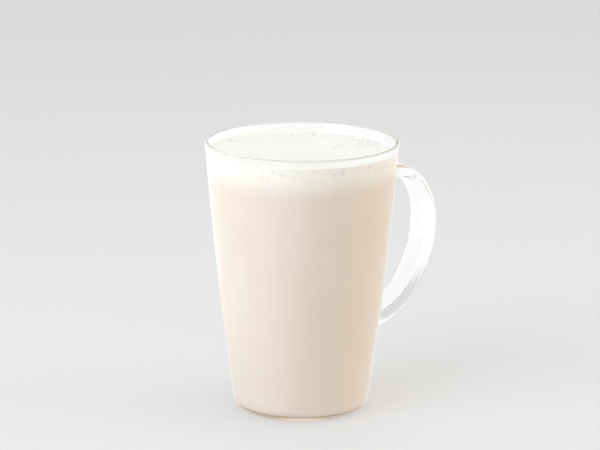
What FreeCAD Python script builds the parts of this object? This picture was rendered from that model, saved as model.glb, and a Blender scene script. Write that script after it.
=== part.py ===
import FreeCAD, Part
import math
import os

# A clear glass mug filled with white hot chocolate under a layer of milk foam.
# Millimetres, +Z up. The origin is the centre of the foot's underside, and the
# handle points along +X. The glass is one piece: the strap is melted onto the wall.

# Glass body
mug_height = 124.0
rim_radius = 44.0            # outside of the wall at the rim, with the bead's swell
foot_radius = 30.5           # outside of the wall where its line meets the table
wall_bulge = 1.0             # how far the wall bows out from a straight taper
wall_thickness = 1.8
base_thickness = 2.6
foot_corner = 5.0            # outer corner radius at the foot
floor_corner = 3.6           # inner corner radius at the floor
bead_swell = 0.2             # how far the melted rim stands out on each side of the wall
bead_blend = 3.6             # height over which the rim swells out of the wall

# Handle: a solid strap that leaves the wall level, bows out and slopes back in
neck_drop = 19.0             # from the rim down to the middle of the strap's neck
crown_drop = 24.5            # from the neck down to where the strap stands furthest out
handle_drop = 70.8           # from the neck down to where the strap's middle line levels out
finger_gap = 24.4            # from the wall to the strap at the crown
neck_length = 7.0            # straight part of the neck
foot_sink = 5.0              # how far inside the wall the lower curve would level out
strap_width = 16.0           # along Y, at the crown
strap_thickness = 7.0
neck_width = 11.4
neck_thickness = 6.2
foot_width = 15.0
squareness = 3.0             # exponent of the strap's section: 2 is an oval, more is squarer
weld_fillet = 2.0            # melted glass where the strap meets the wall

# Drink and foam
headroom = 4.9               # from the rim down to the foam's surface
foam_depth = 6.8             # mean thickness of the foam
foam_wander = 0.7            # how far the foam's underside wanders up and down
meniscus_height = 1.1        # how far the foam climbs the glass
meniscus_width = 2.4

# How finely the free curves are described
section_points = 20          # points round one section of the strap
neck_sections = 2
upper_sections = 5           # sections along the strap's upper quarter oval
lower_sections = 7
sheet_steps = 12             # points each way across the foam's underside

# Heights and sizes that follow from those
bead_radius = wall_thickness / 2 + bead_swell
neck_height = mug_height - neck_drop
crown_height = neck_height - crown_drop
handle_foot_height = neck_height - handle_drop
foam_level = mug_height - headroom
drink_level = foam_level - foam_depth

UP = FreeCAD.Vector(0, 0, 1)
OUTWARD = FreeCAD.Vector(1, 0, 0)
ACROSS = FreeCAD.Vector(0, 1, 0)
ORIGIN = FreeCAD.Vector(0, 0, 0)


def at(radius, height):
    """A point of a profile, which lies in the XZ plane."""
    return FreeCAD.Vector(radius, 0, height)


def line(start, end):
    return Part.LineSegment(start, end).toShape()


def blend(start, start_direction, end, end_direction):
    """A smooth curve between two points, with its direction set at both."""
    curve = Part.BSplineCurve()
    curve.interpolate(Points=[start, end], InitialTangent=start_direction, FinalTangent=end_direction)
    return curve.toShape()


def revolve(edges):
    """Turns a closed profile about the axis, with its seam on the side away from the handle."""
    solid = Part.Face(Part.Wire(edges)).revolve(ORIGIN, UP, 360)
    solid.rotate(ORIGIN, UP, 180)
    return solid


# ---- the wall's line -------------------------------------------------------------------


def wall_circle():
    """Centre and radius of the large arc that the outer wall follows from foot to rim."""
    low = at(foot_radius, 0)
    high = at(rim_radius - bead_swell, mug_height)
    chord = high - low
    radius = (chord.Length ** 2 / 4 + wall_bulge ** 2) / (2 * wall_bulge)
    bow = FreeCAD.Vector(chord.z, 0, -chord.x).normalize()
    return (low + high) * 0.5 - bow * (radius - wall_bulge), radius


WALL_CENTRE, WALL_ARC_RADIUS = wall_circle()


def wall_radius(height, depth=0.0):
    """Distance from the axis to the wall's outer surface, or to a depth into the glass."""
    rise = height - WALL_CENTRE.z
    return WALL_CENTRE.x + math.sqrt((WALL_ARC_RADIUS - depth) ** 2 - rise ** 2)


def wall_direction(height, depth=0.0):
    """The wall's upward direction at a height."""
    run = wall_radius(height, depth) - WALL_CENTRE.x
    return at(WALL_CENTRE.z - height, run).normalize()


def wall_arc(low, high, depth=0.0):
    heights = (low, (low + high) / 2, high)
    return Part.Arc(*[at(wall_radius(height, depth), height) for height in heights]).toShape()


def floor_and_corner(floor_height, corner_radius, depth):
    """The edges from the axis along a flat floor and round its corner, and where they end."""
    centre_height = floor_height + corner_radius
    rise = centre_height - WALL_CENTRE.z
    reach = WALL_ARC_RADIUS - depth - corner_radius
    centre = at(WALL_CENTRE.x + math.sqrt(reach ** 2 - rise ** 2), centre_height)
    towards_wall = (centre - WALL_CENTRE).normalize()
    halfway = (towards_wall - UP).normalize()
    start = centre - UP * corner_radius
    end = centre + towards_wall * corner_radius
    corner = Part.Arc(start, centre + halfway * corner_radius, end).toShape()
    return [line(at(0, floor_height), start), corner], end


# ---- glass -----------------------------------------------------------------------------


def glass_skin(floor_height, corner_radius, depth, side):
    """A solid up to the rim inside one surface of the glass: side is 1 outside, -1 inside."""
    edges, corner_end = floor_and_corner(floor_height, corner_radius, depth)
    shoulder = mug_height - bead_blend
    bead_height = mug_height - bead_radius
    bead_centre = at(wall_radius(bead_height, wall_thickness / 2), bead_height)
    bead_side = bead_centre + OUTWARD * side * bead_radius
    bead_corner = bead_centre + (OUTWARD * side + UP).normalize() * bead_radius
    bead_top = bead_centre + UP * bead_radius
    shoulder_point = at(wall_radius(shoulder, depth), shoulder)
    edges += [
        wall_arc(corner_end.z, shoulder, depth),
        blend(shoulder_point, wall_direction(shoulder, depth), bead_side, UP),
        Part.Arc(bead_side, bead_corner, bead_top).toShape(),
        line(bead_top, at(0, mug_height)),
        line(at(0, mug_height), at(0, floor_height)),
    ]
    return revolve(edges)


def strap_section(centre, along, width, thickness):
    """A rounded section of the strap, square to the direction along, with its width along Y."""
    outward = ACROSS.cross(along).normalize()
    points = []
    for step in range(section_points):
        turn = 2 * math.pi * (step + 0.5) / section_points
        side = math.cos(turn)
        lift = math.sin(turn)
        swell = (abs(side) ** squareness + abs(lift) ** squareness) ** (-1 / squareness)
        offset = ACROSS * (side * width / 2) + outward * (lift * thickness / 2)
        points.append(centre + offset * swell)
    curve = Part.BSplineCurve()
    curve.interpolate(Points=points, PeriodicFlag=True)
    return Part.Wire(curve.toShape())


def handle():
    """The strap, lofted along a level neck, then an upper quarter oval and a lower one."""
    crown = wall_radius(crown_height) + finger_gap + strap_thickness / 2
    neck_start = wall_radius(neck_height, wall_thickness)
    neck_end = wall_radius(neck_height) + neck_length
    sections = []
    for step in range(neck_sections):
        reach = neck_start + (neck_end - neck_start) * step / neck_sections
        sections.append(strap_section(at(reach, neck_height), OUTWARD, neck_width, neck_thickness))

    upper_run = crown - neck_end
    for step in range(upper_sections):
        turn = math.pi / 2 * step / upper_sections
        centre = at(neck_end + upper_run * math.sin(turn),
                    crown_height + crown_drop * math.cos(turn))
        along = at(upper_run * math.cos(turn), -crown_drop * math.sin(turn))
        width = neck_width + (strap_width - neck_width) * math.sin(turn)
        thickness = neck_thickness + (strap_thickness - neck_thickness) * math.sin(turn)
        sections.append(strap_section(centre, along, width, thickness))

    lower_run = crown - wall_radius(handle_foot_height) + foot_sink
    lower_rise = crown_height - handle_foot_height
    for step in range(lower_sections):
        turn = math.pi / 2 * step / (lower_sections - 1)
        centre = at(crown - lower_run * (1 - math.cos(turn)),
                    crown_height - lower_rise * math.sin(turn))
        along = at(-lower_run * math.sin(turn), -lower_rise * math.cos(turn))
        width = strap_width + (foot_width - strap_width) * math.sin(turn) ** 2
        sections.append(strap_section(centre, along, width, strap_thickness))
    return Part.makeLoft(sections, True, False)


def is_strap_root(edge):
    """True for the closed edge where an end of the strap enters the wall."""
    box = edge.BoundBox
    return 0 < box.YLength < 2 * strap_width and box.XMax < rim_radius


def mug_glass():
    """Body and strap melted into one piece, then hollowed through both."""
    blank = glass_skin(0, foot_corner, 0, 1).fuse(handle()).Solids[0]
    roots = [edge for edge in blank.Edges if is_strap_root(edge)]
    hollow = glass_skin(base_thickness, floor_corner, wall_thickness, -1)
    return blank.makeFillet(weld_fillet, roots).cut(hollow)


# ---- drink and foam --------------------------------------------------------------------


def filling():
    """Drink and foam together, resting on the floor and wall, with the edge drawn up the glass."""
    edges, corner_end = floor_and_corner(base_thickness, floor_corner, wall_thickness)
    climb_height = foam_level + meniscus_height
    climb = at(wall_radius(climb_height, wall_thickness), climb_height)
    level_edge = at(climb.x - meniscus_width, foam_level)
    edges += [
        wall_arc(corner_end.z, climb_height, wall_thickness),
        blend(level_edge, OUTWARD, climb, OUTWARD + UP),
        line(level_edge, at(0, foam_level)),
        line(at(0, foam_level), at(0, base_thickness)),
    ]
    return revolve(edges)


def above_drink():
    """A block that starts at the uneven sheet where the foam floats on the drink."""
    span = 2.4 * rim_radius
    swell_length = rim_radius / 4
    rows = []
    for i in range(sheet_steps + 1):
        x = span * (i / sheet_steps - 0.5)
        row = []
        for j in range(sheet_steps + 1):
            y = span * (j / sheet_steps - 0.5)
            broad = math.sin(x / swell_length + 0.6) * math.cos(0.8 * y / swell_length - 0.4)
            slanted = math.sin((0.6 * x + 1.4 * y) / swell_length)
            wander = foam_wander * (2 * broad + slanted) / 3
            row.append(FreeCAD.Vector(x, y, drink_level + wander))
        rows.append(row)
    sheet = Part.BSplineSurface()
    sheet.interpolate(rows)
    return sheet.toShape().extrude(UP * mug_height)


def save(shape, node):
    if len(shape.Solids) != 1:
        raise ValueError(node + " is not one solid")
    shape.Solids[0].exportStep("parts/" + node + ".step")
    print(node, round(shape.Volume / 1000, 1), "ml")


os.makedirs("parts", exist_ok=True)
save(mug_glass(), "mug_glass")
save(filling().cut(above_drink()), "drink")
save(filling().common(above_drink()), "milk_foam")
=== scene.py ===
import math
import random

import bmesh
import bpy
from mathutils import Matrix, Vector, noise
from mathutils.kdtree import KDTree


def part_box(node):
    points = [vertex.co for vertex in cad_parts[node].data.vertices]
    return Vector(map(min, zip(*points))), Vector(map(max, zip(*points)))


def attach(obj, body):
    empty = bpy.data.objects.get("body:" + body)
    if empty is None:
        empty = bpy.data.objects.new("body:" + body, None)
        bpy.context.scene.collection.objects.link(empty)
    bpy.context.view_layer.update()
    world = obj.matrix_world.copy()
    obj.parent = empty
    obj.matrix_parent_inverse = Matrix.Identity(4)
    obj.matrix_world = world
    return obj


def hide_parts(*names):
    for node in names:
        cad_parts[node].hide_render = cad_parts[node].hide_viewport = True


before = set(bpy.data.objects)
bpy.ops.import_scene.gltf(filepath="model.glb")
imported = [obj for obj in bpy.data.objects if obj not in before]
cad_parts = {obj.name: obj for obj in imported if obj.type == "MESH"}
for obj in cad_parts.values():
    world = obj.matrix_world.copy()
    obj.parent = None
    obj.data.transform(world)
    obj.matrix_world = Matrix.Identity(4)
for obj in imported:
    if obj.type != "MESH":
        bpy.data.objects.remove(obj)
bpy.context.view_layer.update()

# ---- sizes, in metres ------------------------------------------------------------------
# The heights and the rim's radius are read from the frame. The rest repeats the glass's own
# drawing.

MM = 0.001
glass_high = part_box("mug_glass")[1]
foam_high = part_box("milk_foam")[1]

mug_height = glass_high.z
bead_radius = 1.1 * MM
bead_swell = 0.2 * MM
wall_thickness = 2 * (bead_radius - bead_swell)
base_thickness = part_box("drink")[0].z
rim_radius = glass_high.y + 0.09 * MM          # the bead's side lies just below the rim
foot_radius = 30.5 * MM
wall_bulge = 1.0 * MM
foot_corner = 5.0 * MM
floor_corner = 3.6 * MM
bead_blend = 3.6 * MM

neck_height = mug_height - 19.0 * MM           # middle of the strap where it leaves the wall
crown_drop = 24.5 * MM                         # from there to where the strap stands furthest out
handle_drop = 70.8 * MM                        # from there to where its lower curve levels out
finger_gap = 24.4 * MM
neck_length = 7.0 * MM
foot_sink = 5.0 * MM                           # how far inside the wall the lower curve levels out
strap_width, strap_thickness = 16.0 * MM, 7.0 * MM
neck_width, neck_thickness = 11.4 * MM, 6.2 * MM
strap_foot_width = 15.0 * MM
squareness = 3.0                               # exponent of the strap's section: 2 is an oval
weld = 2.0 * MM                                # round of melted glass where the strap joins

meniscus_height = 1.1 * MM
meniscus_width = 2.4 * MM
foam_level = foam_high.z - meniscus_height
foam_depth = 6.8 * MM
foam_wander = 0.7 * MM
sink_into_wall = 0.15 * MM                     # drink and foam reach this far into the glass

# ---- directions, as the camera sees the glass ------------------------------------------

camera_turn = math.radians(-33.0)
to_right = Vector((math.cos(camera_turn), math.sin(camera_turn), 0))
to_back = Vector((-math.sin(camera_turn), math.cos(camera_turn), 0))
UP = Vector((0, 0, 1))


# ---- the wall's line -------------------------------------------------------------------


def wall_circle():
    """Centre and radius of the large arc that the outer wall follows from foot to rim."""
    low = Vector((foot_radius, 0))
    high = Vector((rim_radius - bead_swell, mug_height))
    chord = high - low
    radius = (chord.length_squared / 4 + wall_bulge ** 2) / (2 * wall_bulge)
    bow = Vector((chord.y, -chord.x)).normalized()
    return (low + high) / 2 - bow * (radius - wall_bulge), radius


WALL_CENTRE, WALL_ARC_RADIUS = wall_circle()


def wall_radius(height, depth=0.0):
    rise = height - WALL_CENTRE.y
    return WALL_CENTRE.x + math.sqrt((WALL_ARC_RADIUS - depth) ** 2 - rise ** 2)


def wall_points(heights, depth):
    return [(wall_radius(z, depth), z) for z in heights]


def spaced(low, high, count):
    """Heights from low to high in count equal steps, without the last one."""
    return [low + (high - low) * step / count for step in range(count)]


def floor_and_corner(floor_height, corner, depth, steps):
    """Profile points from the axis along the floor and round its corner."""
    rise = floor_height + corner - WALL_CENTRE.y
    reach = WALL_ARC_RADIUS - depth - corner
    centre = Vector((WALL_CENTRE.x + math.sqrt(reach ** 2 - rise ** 2), floor_height + corner))
    end_angle = math.atan2(centre.y - WALL_CENTRE.y, centre.x - WALL_CENTRE.x)
    points = [(centre.x * share, floor_height) for share in (0.0, 0.3, 0.6, 0.85)]
    for step in range(steps + 1):
        angle = -math.pi / 2 + (end_angle + math.pi / 2) * step / steps
        points.append((centre.x + corner * math.cos(angle), centre.y + corner * math.sin(angle)))
    return points


# ---- mesh helpers ----------------------------------------------------------------------


def spun(profile, steps):
    """A closed shell spun about the axis from (radius, height) points that start and end on it."""
    bm = bmesh.new()
    verts = [bm.verts.new((radius, 0, height)) for radius, height in profile]
    edges = [bm.edges.new(pair) for pair in zip(verts, verts[1:])]
    bmesh.ops.spin(bm, geom=verts + edges, cent=(0, 0, 0), axis=UP, angle=2 * math.pi,
                   steps=steps, use_merge=True)
    bmesh.ops.remove_doubles(bm, verts=bm.verts[:], dist=1e-7)
    bmesh.ops.recalc_face_normals(bm, faces=bm.faces[:])
    return bm


def show(name, data):
    """Puts a mesh, a lamp or a camera into the scene as an object."""
    obj = bpy.data.objects.new(name, data)
    bpy.context.scene.collection.objects.link(obj)
    return obj


def mesh_from(name, bm, material):
    mesh = bpy.data.meshes.new(name)
    bm.to_mesh(mesh)
    bm.free()
    mesh.materials.append(material)
    return mesh


def piece(name, bm, material, node=None, levels=0):
    """Turns a finished bmesh into a smooth piece that rides on the glass."""
    mesh = mesh_from(name, bm, material)
    mesh.shade_smooth()
    mesh.set_sharp_from_angle(angle=math.radians(60))
    obj = show(name, mesh)
    if levels:
        subdivision = obj.modifiers.new("smooth", "SUBSURF")
        subdivision.levels = subdivision.render_levels = levels
    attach(obj, "root")
    if node:
        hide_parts(node)
    return obj


# ---- glass: body, bead and melted-on strap ---------------------------------------------

around = 96                                    # faces round the body
strap_points = 24                              # points round the strap
crown_steps, lower_steps = 7, 14               # sections along the strap's upper and lower curve


def strap_outline(width, thickness):
    """(across, lift) of each point of the strap's rounded section."""
    points = []
    for step in range(strap_points):
        turn = 2 * math.pi * step / strap_points
        side, lift = math.cos(turn), math.sin(turn)
        swell = (abs(side) ** squareness + abs(lift) ** squareness) ** (-1 / squareness)
        points.append((side * swell * width / 2, lift * swell * thickness / 2))
    return points


def section_places(centre, along, width, thickness):
    """Where a section's points lie, square to the direction along, in the XZ plane."""
    outward = Vector((0, 1, 0)).cross(along).normalized()
    return [centre + Vector((0, across, 0)) + outward * lift
            for across, lift in strap_outline(width, thickness)]


def weld_places(height, slope, width, thickness, distance, side):
    """A section laid on the wall at a distance, swollen by the round of melted glass there."""
    growth = weld - math.sqrt(weld ** 2 - max(weld - distance, 0) ** 2)
    places = []
    for across, lift in strap_outline(width + 2 * growth, thickness + 2 * growth):
        z = height + side * lift + slope * distance
        x = math.sqrt((wall_radius(z) + distance) ** 2 - across ** 2)
        places.append(Vector((x, across, z)))
    return places


crown_height = neck_height - crown_drop
crown_reach = wall_radius(crown_height) + finger_gap + strap_thickness / 2
neck_end = wall_radius(neck_height) + neck_length
lower_drop = handle_drop - crown_drop
lower_reach = crown_reach - wall_radius(neck_height - handle_drop) + foot_sink
foot_turn = math.acos(foot_sink / lower_reach)
foot_root = crown_height - lower_drop * math.sin(foot_turn)
foot_slope = lower_drop * math.cos(foot_turn) / (lower_reach * math.sin(foot_turn))


def strap_stations():
    """The places of every section of the strap, from the neck's weld to the foot's."""
    weld_steps = (0.3 * MM, 0.9 * MM, weld)
    level = Vector((1, 0, 0))
    loops = [weld_places(neck_height, 0, neck_width, neck_thickness, d, -1) for d in weld_steps]
    neck_middle = (wall_radius(neck_height) + weld + neck_end) / 2
    loops.append(section_places(Vector((neck_middle, 0, neck_height)), level,
                                neck_width, neck_thickness))

    upper_run = crown_reach - neck_end
    for step in range(crown_steps):
        turn = math.pi / 2 * step / crown_steps
        centre = Vector((neck_end + upper_run * math.sin(turn), 0,
                         crown_height + crown_drop * math.cos(turn)))
        along = Vector((upper_run * math.cos(turn), 0, -crown_drop * math.sin(turn)))
        share = math.sin(turn)
        width = neck_width + (strap_width - neck_width) * share
        thickness = neck_thickness + (strap_thickness - neck_thickness) * share
        loops.append(section_places(centre, along, width, thickness))

    lower_end = math.acos((foot_sink + 1.8 * weld) / lower_reach)
    for step in range(lower_steps + 1):
        turn = lower_end * step / lower_steps
        centre = Vector((crown_reach - lower_reach * (1 - math.cos(turn)), 0,
                         crown_height - lower_drop * math.sin(turn)))
        along = Vector((-lower_reach * math.sin(turn), 0, -lower_drop * math.cos(turn)))
        width = strap_width + (strap_foot_width - strap_width) * math.sin(turn) ** 2
        loops.append(section_places(centre, along, width, strap_thickness))
    for d in reversed(weld_steps):
        loops.append(weld_places(foot_root, foot_slope, strap_foot_width, strap_thickness, d, 1))
    return loops


neck_patch = neck_thickness / 2 + weld         # half the height of the patch opened in the wall
foot_patch = strap_thickness / 2 + weld
neck_rows, neck_half_faces = 6, 3              # faces up a patch, and to each side of its middle:
foot_rows, foot_half_faces = 4, 4              # the edge of each has strap_points corners


def glass_profile():
    """The glass's section: out along the foot, up the wall, over the bead and down inside.

    The bare numbers are how many rows of faces each stretch has.
    """
    outer = floor_and_corner(0, foot_corner, 0, 6)
    corner_top = outer[-1][1]
    shoulder = mug_height - bead_blend
    heights = spaced(corner_top, foot_root - foot_patch, 9)[1:]
    heights += spaced(foot_root - foot_patch, foot_root + foot_patch, foot_rows)
    heights += spaced(foot_root + foot_patch, neck_height - neck_patch, 22)
    heights += spaced(neck_height - neck_patch, neck_height + neck_patch, neck_rows)
    heights += spaced(neck_height + neck_patch, shoulder, 4)
    outer += wall_points(heights, 0)

    bead_height = mug_height - bead_radius
    bead_centre = wall_radius(bead_height, wall_thickness / 2)
    blend = [(z, bead_swell * ((z - shoulder) / (bead_height - shoulder)) ** 2)
             for z in spaced(shoulder, bead_height, 3)]
    outer += [(wall_radius(z) + swell, z) for z, swell in blend]
    for step in range(9):
        angle = math.pi * step / 8
        outer.append((bead_centre + bead_radius * math.cos(angle),
                      bead_height + bead_radius * math.sin(angle)))
    inner = floor_and_corner(base_thickness, floor_corner, wall_thickness, 5)
    inner += wall_points(spaced(inner[-1][1], shoulder, 42)[1:], wall_thickness)
    inner += [(wall_radius(z, wall_thickness) - swell, z) for z, swell in blend]
    return outer + inner[::-1]


def open_patch(bm, low, high, half_faces):
    """Opens a patch of the outer wall where the strap joins, and gives the edges round it."""
    half_angle = (half_faces + 0.1) * 2 * math.pi / around
    faces = []
    for face in bm.faces:
        middle = face.calc_center_median()
        outer_skin = middle.xy.length > wall_radius(middle.z) - wall_thickness / 2
        turn = abs(math.atan2(middle.y, middle.x))
        if low < middle.z < high and outer_skin and turn < half_angle:
            faces.append(face)
    edges = {edge for face in faces for edge in face.edges}
    rim = [edge for edge in edges if sum(face in faces for face in edge.link_faces) == 1]
    bmesh.ops.delete(bm, geom=faces, context="FACES")
    return rim


def ordered_loop(edges, start, towards):
    """The vertices of a closed loop of edges in order, from one and on towards its neighbour."""
    verts = [start, towards]
    while len(verts) < len(edges):
        here, before = verts[-1], verts[-2]
        ahead = [edge.other_vert(here) for edge in here.link_edges if edge in edges]
        verts.append(ahead[0] if ahead[0] is not before else ahead[1])
    return verts


def lay_rim(edges, places):
    """Moves the vertices round an open patch onto the outline of the melted glass."""
    verts = {vert for edge in edges for vert in edge.verts}
    middle_height = sum(vert.co.z for vert in verts) / len(verts)
    start = max(verts, key=lambda vert: vert.co.y - 4 * abs(vert.co.z - middle_height))
    ahead = [edge.other_vert(start) for edge in start.link_edges if edge in edges]
    towards = max(ahead, key=lambda vert: -abs(vert.co.z - places[1].z))
    for vert, place in zip(ordered_loop(set(edges), start, towards), places):
        vert.co = place


def add_loop(bm, places):
    made = bmesh.ops.create_circle(bm, cap_ends=False, segments=strap_points, radius=1)
    for vert, place in zip(made["verts"], places):
        vert.co = place
    return list({edge for vert in made["verts"] for edge in vert.link_edges})


def make_glass(material):
    bm = spun(glass_profile(), around)
    neck_rim = open_patch(bm, neck_height - neck_patch, neck_height + neck_patch, neck_half_faces)
    foot_rim = open_patch(bm, foot_root - foot_patch, foot_root + foot_patch, foot_half_faces)
    lay_rim(neck_rim, weld_places(neck_height, 0, neck_width, neck_thickness, 0, -1))
    lay_rim(foot_rim, weld_places(foot_root, foot_slope, strap_foot_width, strap_thickness, 0, 1))
    loops = [neck_rim] + [add_loop(bm, places) for places in strap_stations()] + [foot_rim]
    for first, second in zip(loops, loops[1:]):
        bmesh.ops.bridge_loops(bm, edges=first + second)
    bmesh.ops.recalc_face_normals(bm, faces=bm.faces[:])
    return piece("clear_mug", bm, material, "mug_glass", levels=1)


# ---- drink -----------------------------------------------------------------------------

drink_around, drink_rows = 192, 60             # faces round the drink and up its side


def foam_line(x, y):
    """Height of the uneven sheet where the foam floats on the drink."""
    swell_length = rim_radius / 4
    broad = math.sin(x / swell_length + 0.6) * math.cos(0.8 * y / swell_length - 0.4)
    slanted = math.sin((0.6 * x + 1.4 * y) / swell_length)
    return foam_level - foam_depth + foam_wander * (2 * broad + slanted) / 3


def make_drink(material):
    depth = wall_thickness - sink_into_wall
    floor_height = base_thickness - sink_into_wall
    profile = floor_and_corner(floor_height, floor_corner, depth, 8)
    top = foam_level - foam_depth
    profile += wall_points(spaced(profile[-1][1], top, drink_rows)[1:] + [top], depth)
    rim = wall_radius(top, depth)
    profile += [(rim * share, top) for share in (0.9, 0.7, 0.5, 0.3, 0.1, 0.0)]
    bm = spun(profile, drink_around)
    for vert in bm.verts:
        if vert.co.z > top - 1e-6:
            vert.co.z = foam_line(vert.co.x, vert.co.y)
    return piece("ivory_drink", bm, material, "drink")


# ---- foam ------------------------------------------------------------------------------

foam_around, foam_rings, side_rings = 420, 72, 16
foam_swell = 0.35 * MM                         # how far the surface wanders up and down
smallest_dent = 0.25 * MM                      # smaller bubbles dent the skin as it is
smallest_film = 0.55 * MM                      # smaller bubbles get no film of their own
film_inside = 0.93                             # a film's inner radius, as a share of its outer one
film_sink = 0.25                               # how far it sits below its bubble, in radii
top_dent, wall_dent = 0.6, 0.4                 # how deep bubbles dent the top and side, in radii


def surface_height(radius):
    """The foam's surface away from its bubbles: level, and drawn up at the glass."""
    edge = wall_radius(foam_level, wall_thickness) - meniscus_width
    climb = max(radius - edge, 0) / meniscus_width
    return foam_level + meniscus_height * climb ** 2


class Bubble:
    """One bubble at the foam's surface or against the glass."""

    def __init__(self, centre, radius, outward):
        self.centre = centre
        self.radius = radius
        self.outward = outward


def random_size(draw, small, large):
    """Many small bubbles and few large ones."""
    return small * (large / small) ** (draw.random() ** 2)


def apart(bubbles, place, size):
    """Whether a bubble of this size has room beside those already there."""
    return all((place - other.centre).length > 0.9 * (size + other.radius) for other in bubbles)


def top_bubbles(draw):
    """Bubbles on the foam's surface: a few rafts, most to the back right, and fine ones between.

    A raft is how far right and back it lies and how wide it spreads, as shares of the surface's
    radius, and how many bubbles it has.
    """
    reach = wall_radius(foam_level, wall_thickness) - 1.2 * MM
    rafts = [(0.75, 0.56, 0.08, 60), (0.6, 0.28, 0.06, 26), (0.44, 0.24, 0.045, 12),
             (0.13, 0.9, 0.05, 9), (-0.17, 0.78, 0.05, 5), (-0.78, 0.5, 0.07, 6),
             (-0.55, -0.72, 0.1, 9), (0.6, -0.68, 0.1, 7)]
    bubbles = []

    def settle(place, size):
        place = place * reach
        place.z = surface_height(place.xy.length)
        if place.xy.length < reach and apart(bubbles, place, size):
            bubbles.append(Bubble(place, size, UP))

    for right, back, spread, count in rafts:
        middle = to_right * right + to_back * back
        for _ in range(count):
            stray = Vector((draw.gauss(0, spread), draw.gauss(0, spread), 0))
            settle(middle + stray, random_size(draw, 0.4 * MM, 1.15 * MM))
    for _ in range(110):
        turn, share = draw.uniform(0, 2 * math.pi), math.sqrt(draw.random())
        settle(Vector((math.cos(turn), math.sin(turn), 0)) * share,
               random_size(draw, 0.2 * MM, 0.5 * MM))
    return bubbles


def wall_bubbles(draw):
    """Bubbles pressed against the glass, in clumps just under the foam's edge.

    A clump is how many degrees it lies round from the camera's side, and how many bubbles it has.
    """
    front_clumps = [(-31, 9), (-25, 16), (-20, 8), (-10, 8), (0, 9), (6, 3), (25, 7), (40, 4),
                    (55, 9)]
    other_clumps = [(85, 6), (112, 8), (140, 5), (170, 9), (200, 6), (228, 8), (262, 6), (300, 5)]
    toward = -to_back
    bubbles = []

    def settle(turn, drop, size):
        z = foam_level + 0.3 * MM - drop
        outward = Matrix.Rotation(turn, 3, "Z") @ toward
        centre = outward * wall_radius(z, wall_thickness) + UP * z
        if apart(bubbles, centre, size):
            bubbles.append(Bubble(centre, size, outward))

    for degrees, count in front_clumps + other_clumps:
        for _ in range(count):
            turn = math.radians(degrees + draw.gauss(0, 3.5))
            drop = abs(draw.gauss(0, 2.2 * MM))
            settle(turn, drop + 0.5 * MM, random_size(draw, 0.3 * MM, 0.95 * MM))
    for _ in range(260):
        drop = draw.random() ** 1.5 * 0.75 * foam_depth
        settle(draw.uniform(0, 2 * math.pi), drop, random_size(draw, 0.16 * MM, 0.38 * MM))
    return bubbles


def refine(bm, bubbles, smallest):
    """Cuts the skin finer where a bubble of at least the smallest size will dent it."""
    faces = list(bm.faces)
    tree = KDTree(len(faces))
    for index, face in enumerate(faces):
        tree.insert(face.calc_center_median(), index)
    tree.balance()
    chosen = set()
    for bubble in bubbles:
        if bubble.radius >= smallest:
            reach = bubble.radius * 1.3 + 0.3 * MM
            chosen.update(index for _, index, _ in tree.find_range(bubble.centre, reach))
    edges = {edge for index in chosen for edge in faces[index].edges}
    bmesh.ops.subdivide_edges(bm, edges=list(edges), cuts=2, use_grid_fill=True)


def ridge(away, middle, width):
    """A smooth ridge of height 1 round a bubble, with its top at middle."""
    return math.exp(-((away - middle) / width) ** 2)


def press_bubbles(bm, bubbles, share):
    """Dents the foam's skin where each bubble lies, and marks how much painted shade its ring and
    hollow get.
    """
    hollow_shade = bm.verts.layers.float["hollow_shade"]
    verts = list(bm.verts)
    tree = KDTree(len(verts))
    for index, vert in enumerate(verts):
        tree.insert(vert.co, index)
    tree.balance()
    for bubble in bubbles:
        reach = bubble.radius * 1.4
        for _, index, distance in tree.find_range(bubble.centre, reach):
            away = distance / bubble.radius
            depth = max(1 - away ** 2, 0) ** 0.5
            lip = ridge(away, 1.05, 0.14) * 0.1
            verts[index].co -= bubble.outward * bubble.radius * (share * depth - lip)
            # painted shade: a grey ring round each bubble, and greyer in its hollow
            hollow_shade_amount = max(ridge(away, 0.9, 0.25), 0.3 * min(depth * 1.5, 1))
            verts[index][hollow_shade] = max(verts[index][hollow_shade], hollow_shade_amount)


def make_foam(material, on_top, on_wall):
    depth = wall_thickness - sink_into_wall
    low = foam_level - foam_depth
    edge_height = foam_level + meniscus_height
    edge = wall_radius(edge_height, depth)
    radii = [edge * step / foam_rings for step in range(foam_rings)]
    profile = [(radius, surface_height(radius)) for radius in radii]
    profile += wall_points([edge_height - (edge_height - low) * step / side_rings
                            for step in range(side_rings + 1)], depth)
    profile += [(edge * share, low) for share in (0.9, 0.7, 0.4, 0.0)]
    bm = spun(profile, foam_around)
    bm.verts.layers.float.new("hollow_shade")
    for vert in bm.verts:
        share = (edge_height - vert.co.z) / (edge_height - low)
        if vert.co.z < low + 1e-6:
            vert.co.z = foam_line(vert.co.x, vert.co.y)
        elif vert.co.xy.length > wall_radius(vert.co.z, depth) - 0.01 * MM:
            line = foam_line(vert.co.x, vert.co.y)
            vert.co.z = edge_height - share * (edge_height - line)
            vert.co.xy = vert.co.xy.normalized() * wall_radius(vert.co.z, depth)
        else:
            swirl = noise.noise(vert.co * 55 + Vector((3, 1, 0)))
            vert.co.z += foam_swell * swirl
    refine(bm, on_top + on_wall, smallest_dent)
    press_bubbles(bm, on_top, top_dent)
    press_bubbles(bm, on_wall, wall_dent)
    many_sided = [face for face in bm.faces if len(face.verts) > 4]
    bmesh.ops.triangulate(bm, faces=many_sided, ngon_method="BEAUTY")
    return piece("foam_layer", bm, material, "milk_foam")


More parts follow.
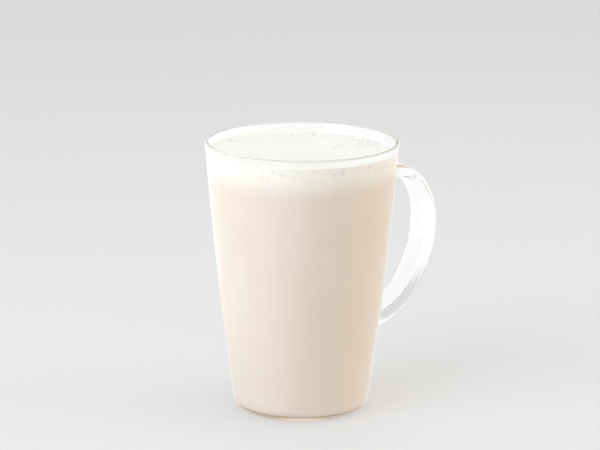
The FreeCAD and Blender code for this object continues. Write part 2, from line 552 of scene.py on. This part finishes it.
def make_films(material, bubbles):
    """The thin domes of the larger bubbles, standing a little out of the foam."""
    bm = bmesh.new()
    for bubble in bubbles:
        if bubble.radius < smallest_film:
            continue
        place = Matrix.Translation(bubble.centre - bubble.outward * bubble.radius * film_sink)
        bmesh.ops.create_icosphere(bm, subdivisions=3, radius=bubble.radius, matrix=place)
        inner = bmesh.ops.create_icosphere(bm, subdivisions=3, matrix=place,
                                           radius=bubble.radius * film_inside)
        faces = {face for vert in inner["verts"] for face in vert.link_faces}
        bmesh.ops.reverse_faces(bm, faces=list(faces))
    return piece("bubble_films", bm, material)


# ---- node helpers ----------------------------------------------------------------------

WHITE = (1, 1, 1, 1)


def new_material(name):
    material = bpy.data.materials.new(name)
    material.use_nodes = True
    material.node_tree.nodes.clear()
    return material


def add(material, kind, inputs=None, **settings):
    """A node with its settings, and its inputs set to values or linked to other nodes' sockets."""
    tree = material.node_tree
    made = tree.nodes.new("ShaderNode" + kind)
    for name, value in settings.items():
        setattr(made, name, value)
    for name, value in (inputs or {}).items():
        if isinstance(value, bpy.types.NodeSocket):
            tree.links.new(value, made.inputs[name])
        else:
            made.inputs[name].default_value = value
    return made


def mixed_colour(material, share, first, second):
    """The colour between two others: the first at a share of 0, the second at 1."""
    return add(material, "Mix", {"Factor": share, 6: first, 7: second}, data_type="RGBA").outputs[2]


def reckon(material, operation, *values):
    return add(material, "Math", dict(enumerate(values)), operation=operation).outputs[0]


def ramp(material, value, low, high, at_low=0.0, at_high=1.0, kind="SMOOTHSTEP"):
    """Goes from at_low to at_high while the value goes from low to high."""
    return add(material, "MapRange", {"Value": value, "From Min": low, "From Max": high,
                                      "To Min": at_low, "To Max": at_high},
               interpolation_type=kind).outputs[0]


def z_of(material, vector):
    return add(material, "SeparateXYZ", {"Vector": vector}).outputs["Z"]


def offset_along(material, place, direction):
    """How far a place lies from the middle of the scene in a direction."""
    return add(material, "VectorMath", {0: place, 1: direction},
               operation="DOT_PRODUCT").outputs["Value"]


def colour(red, green, blue):
    """A colour given as it looks on a screen, from 0 to 255."""
    values = [value / 255 for value in (red, green, blue)]
    linear = [v / 12.92 if v < 0.04045 else ((v + 0.055) / 1.055) ** 2.4 for v in values]
    return (*linear, 1.0)


# ---- finishes --------------------------------------------------------------------------

drink_colour = colour(238, 226, 210)
drink_deep = colour(234, 219, 201)
painted_heel_shade = colour(200, 172, 146)             # painted shade: a darker line low on the round of the drink's bottom
foam_colour = colour(254, 252, 246)
foam_pale = colour(246, 243, 234)
foam_cream = colour(250, 245, 232)             # the foam's side, against the glass
painted_hollow_shade = colour(238, 235, 226)               # painted shade, in a bubble's hollow and round it
painted_rim_shade = (0.62, 0.63, 0.59, 1)            # painted shade: the glass tinted darker along the top of its rim
lamp_tint = (0.93, 0.94, 0.935, 1)             # a lamp's light once through the glass or a film

wisp_height = 4 * MM                           # how unevenly the drink's colour turns into foam
# the height of the painted shade line low on the drink, and its half-width
heel_shade_height, heel_shade_spread = base_thickness + 0.3 * MM, 0.2 * MM


def filling_colour(material, place):
    """Ivory drink that lightens into white foam through an uneven band at the foam line."""
    height = z_of(material, place)
    wisps = add(material, "TexNoise", {"Vector": place, "Scale": 160, "Detail": 4,
                                       "Roughness": 0.6})
    clouds = add(material, "TexNoise", {"Vector": place, "Scale": 38, "Detail": 2}).outputs["Fac"]
    shifted = reckon(material, "MULTIPLY_ADD", wisps.outputs["Fac"], wisp_height, height)
    line = foam_level - foam_depth + 2 * MM
    rise = ramp(material, shifted, line - 7.5 * MM, line + 5.0 * MM)
    drink = mixed_colour(material, clouds, drink_colour, drink_deep)
    facing = z_of(material, add(material, "NewGeometry").outputs["Normal"])
    on_top = ramp(material, facing, 0.3, 0.8, kind="LINEAR")
    skin = mixed_colour(material, clouds, foam_colour, foam_pale)
    foam = mixed_colour(material, on_top, foam_cream, skin)
    return mixed_colour(material, rise, drink, foam)


def milky_surface(material, inputs):
    """Ends a material in a shader that light enters a little way."""
    shader = add(material, "BsdfPrincipled", {"Subsurface Weight": 0.12,
                                              "Subsurface Scale": 0.5 * MM, **inputs})
    add(material, "OutputMaterial", {"Surface": shader.outputs[0]})
    return material


def drink_finish():
    """The drink, with a painted shade line, darker, low on the round of its bottom."""
    material = new_material("drink_look")
    place = add(material, "TexCoord").outputs["Object"]
    # painted shade: a darker band low on the round of the drink's bottom
    heel_shade_mask = reckon(material, "COMPARE", z_of(material, place), heel_shade_height, heel_shade_spread)
    tint = mixed_colour(material, heel_shade_mask, filling_colour(material, place), painted_heel_shade)
    return milky_surface(material, {
        "Base Color": tint, "Roughness": 0.45, "Specular IOR Level": 0.1,
        "Subsurface Radius": (1.0, 0.8, 0.6)})


def foam_finish():
    """The foam, with fine grain in its surface, and painted shade, greyer, in and round its
    bubbles' hollows.
    """
    material = new_material("foam_look")
    place = add(material, "TexCoord").outputs["Object"]
    cells = add(material, "TexVoronoi", {"Vector": place, "Scale": 1300}, feature="SMOOTH_F1")
    grain = add(material, "TexNoise", {"Vector": place, "Scale": 2600, "Detail": 2})
    height = reckon(material, "ADD", cells.outputs["Distance"], grain.outputs["Fac"])
    bump = add(material, "Bump", {"Height": height, "Strength": 0.35, "Distance": 0.12 * MM})
    # painted shade in and round the bubbles' hollows
    hollow_shade = add(material, "Attribute", attribute_name="hollow_shade").outputs["Fac"]
    tint = mixed_colour(material, hollow_shade, filling_colour(material, place), painted_hollow_shade)
    return milky_surface(material, {
        "Base Color": tint, "Roughness": 0.55, "Specular IOR Level": 0.3,
        "Subsurface Radius": (1.0, 0.9, 0.8), "Normal": bump.outputs[0]})


def clear_finish(name, ior, waves, edge):
    """Clear glass or a liquid film, with painted shade tinting it darker along the rim's top. Lamps
    shine through it.
    """
    material = new_material(name)
    place = add(material, "TexCoord").outputs["Object"]
    # painted shade along the top of the rim, in the colour given as edge
    rim_shade_mask = ramp(material, z_of(material, place), mug_height - 1.0 * MM, mug_height - 0.3 * MM)
    clear = mixed_colour(material, rim_shade_mask, WHITE, edge)
    ripple = add(material, "TexNoise", {"Vector": place, "Scale": 45, "Detail": 1})
    bump = add(material, "Bump", {"Height": ripple.outputs["Fac"], "Strength": waves,
                                  "Distance": MM})
    shader = add(material, "BsdfPrincipled", {
        "Base Color": clear, "Roughness": 0.0, "IOR": ior, "Transmission Weight": 1.0,
        "Normal": bump.outputs[0]})
    passed = add(material, "BsdfTransparent", {"Color": lamp_tint})
    path = add(material, "LightPath")
    mixed = add(material, "MixShader", {0: path.outputs["Is Shadow Ray"], 1: shader.outputs[0],
                                        2: passed.outputs[0]})
    add(material, "OutputMaterial", {"Surface": mixed.outputs[0]})
    return material


# ---- build -----------------------------------------------------------------------------

draw = random.Random(7)
surface_bubbles = top_bubbles(draw)
side_bubbles = wall_bubbles(draw)
make_glass(clear_finish("glass_look", 1.47, 0.05, painted_rim_shade))
make_drink(drink_finish())
make_foam(foam_finish(), surface_bubbles, side_bubbles)
make_films(clear_finish("film_look", 1.33, 0.0, WHITE), surface_bubbles)


# ---- stage, lights and camera ----------------------------------------------------------

floor_radius = 4.0
floor_paint, floor_mottle = colour(228, 227, 225), colour(225, 224, 222)
floor_drop = 0.05 * MM                         # keeps the floor clear of the foot's own face
dim_from, dim_to = 0.3, 0.6                    # metres in front, where the floor in the glass dims
sheen_from, sheen_to = 0.05, 0.16              # metres to the left, where its reflection brightens
# painted contact shadow: a brown ring on the floor where the foot touches it, seen through the
# glass; inside it a painted glow, brighter than white, that lights the glass's base and the drink
# from below
contact_shadow_radius = foot_radius - 0.8 * foot_corner
painted_glow_radius = foot_radius - 1.55 * foot_corner
painted_contact_shadow = colour(178, 150, 122)
painted_glow_colour = (2.4, 2.2, 2.0, 1)
room_strength = 0.64                           # for the camera and for plain surfaces
mirror_level, mirror_ceiling = 1.0, 0.7        # in and through the glass, level and overhead

camera_lens, sensor_width = 150.05, 36.0
camera_right, camera_away, camera_up = -0.00077, 1.1, 0.3598
camera_dip = 14.04                             # degrees below level
camera_roll = 0.0057                           # radians


def pale_floor():
    """The floor, which looks different to the camera, in or through the glass, and to the drink.

    To the camera it is a little whiter than its paint. In or through the glass it is white, dim far
    in front of the object, with a painted brown contact shadow where the foot touches it and a
    painted glow, brighter than white, inside that ring, so that the glass's base glows. To the left
    its reflection in the glass is brighter than white. Close round the foot it sends a painted glow
    back up into the drink.
    """
    material = new_material("floor_look")
    place = add(material, "TexCoord").outputs["Object"]
    mottle = add(material, "TexNoise", {"Vector": place, "Scale": 3, "Detail": 2})
    tint = mixed_colour(material, mottle.outputs["Fac"], floor_paint, floor_mottle)
    shader = add(material, "BsdfPrincipled", {"Base Color": tint, "Roughness": 0.5,
                                              "Specular IOR Level": 0.2})
    path = add(material, "LightPath").outputs
    through = reckon(material, "MAXIMUM", path["Is Transmission Ray"], path["Is Glossy Ray"])
    ahead = offset_along(material, place, -to_back)
    dimming = ramp(material, ahead, dim_from, dim_to, 0.97, 0.3, kind="LINEAR")
    leftward = offset_along(material, place, -to_right)
    sheen = ramp(material, leftward, sheen_from, sheen_to, 0.0, 0.45)
    strength = reckon(material, "MULTIPLY_ADD", sheen, path["Is Glossy Ray"], dimming)
    from_centre = add(material, "VectorMath", {0: place}, operation="LENGTH").outputs["Value"]
    nearness = ramp(material, from_centre, foot_radius, 2 * foot_radius, 1.0, 0.0)
    upward = reckon(material, "MULTIPLY", nearness, path["Is Diffuse Ray"])
    whitened = reckon(material, "MULTIPLY_ADD", path["Is Camera Ray"], 0.3, through)
    share = reckon(material, "MAXIMUM", whitened, upward)
    # painted contact shadow round the foot, and a painted glow under it
    contact_shadow_mask = reckon(material, "LESS_THAN", from_centre, contact_shadow_radius)
    under = reckon(material, "LESS_THAN", from_centre, painted_glow_radius)
    contact_shadowed = mixed_colour(material, contact_shadow_mask, WHITE, painted_contact_shadow)
    tone = mixed_colour(material, under, contact_shadowed, painted_glow_colour)
    white = add(material, "Emission", {"Color": tone, "Strength": strength})
    mixed = add(material, "MixShader", {0: share, 1: shader.outputs[0], 2: white.outputs[0]})
    add(material, "OutputMaterial", {"Surface": mixed.outputs[0]})
    bm = bmesh.new()
    bmesh.ops.create_circle(bm, cap_ends=True, segments=64, radius=floor_radius)
    floor = show("floor", mesh_from("floor", bm, material))
    floor.location.z = -floor_drop


def soft_light(name, right, back, up, size, power, tint=(1, 1, 1)):
    """A square lamp that faces the middle of the glass."""
    data = bpy.data.lights.new(name, "AREA")
    data.shape = "SQUARE"
    data.size = size
    data.energy = power
    data.color = tint
    light = show(name, data)
    light.location = to_right * right + to_back * back + UP * up
    aim = Vector((0, 0, mug_height / 2)) - light.location
    light.rotation_euler = aim.to_track_quat("-Z", "Y").to_euler()


def surroundings():
    """The room, brighter in and through the glass than to the camera."""
    world = bpy.data.worlds.new("surroundings")
    bpy.context.scene.world = world
    world.use_nodes = True
    world.node_tree.nodes.clear()
    path = add(world, "LightPath").outputs
    seen = reckon(world, "MAXIMUM", path["Is Glossy Ray"], path["Is Transmission Ray"])
    overhead = z_of(world, add(world, "TexCoord").outputs["Generated"])
    ceiling = ramp(world, overhead, 0.15, 0.5, mirror_level, mirror_ceiling)
    strength = add(world, "Mix", {0: seen, 2: room_strength, 3: ceiling})
    light = add(world, "Background", {"Color": WHITE, "Strength": strength.outputs[0]})
    add(world, "OutputWorld", {"Surface": light.outputs[0]})


def make_camera():
    data = bpy.data.cameras.new("camera")
    data.lens = camera_lens
    data.sensor_width = sensor_width
    camera = show("camera", data)
    place = to_right * camera_right - to_back * camera_away + UP * camera_up
    tilt = Matrix.Rotation(math.radians(90 - camera_dip), 4, "X")
    turn = Matrix.Rotation(camera_turn, 4, "Z") @ tilt
    camera.matrix_world = Matrix.Translation(place) @ turn @ Matrix.Rotation(camera_roll, 4, "Z")
    bpy.context.scene.camera = camera


pale_floor()
surroundings()
soft_light("key", right=-0.72, back=-0.6, up=0.6, size=0.8, power=5.2, tint=(0.92, 1.025, 1.2))
soft_light("fill", right=1.0, back=0.0, up=0.35, size=0.9, power=3.9, tint=(1.0, 0.92, 0.82))
soft_light("top", right=0.1, back=0.2, up=1.1, size=0.6, power=1.4)
make_camera()
cycles = bpy.context.scene.cycles
cycles.max_bounces = 24
cycles.glossy_bounces = 16
cycles.transmission_bounces = 24
cycles.transparent_max_bounces = 16
bpy.context.scene.view_settings.view_transform = "Standard"
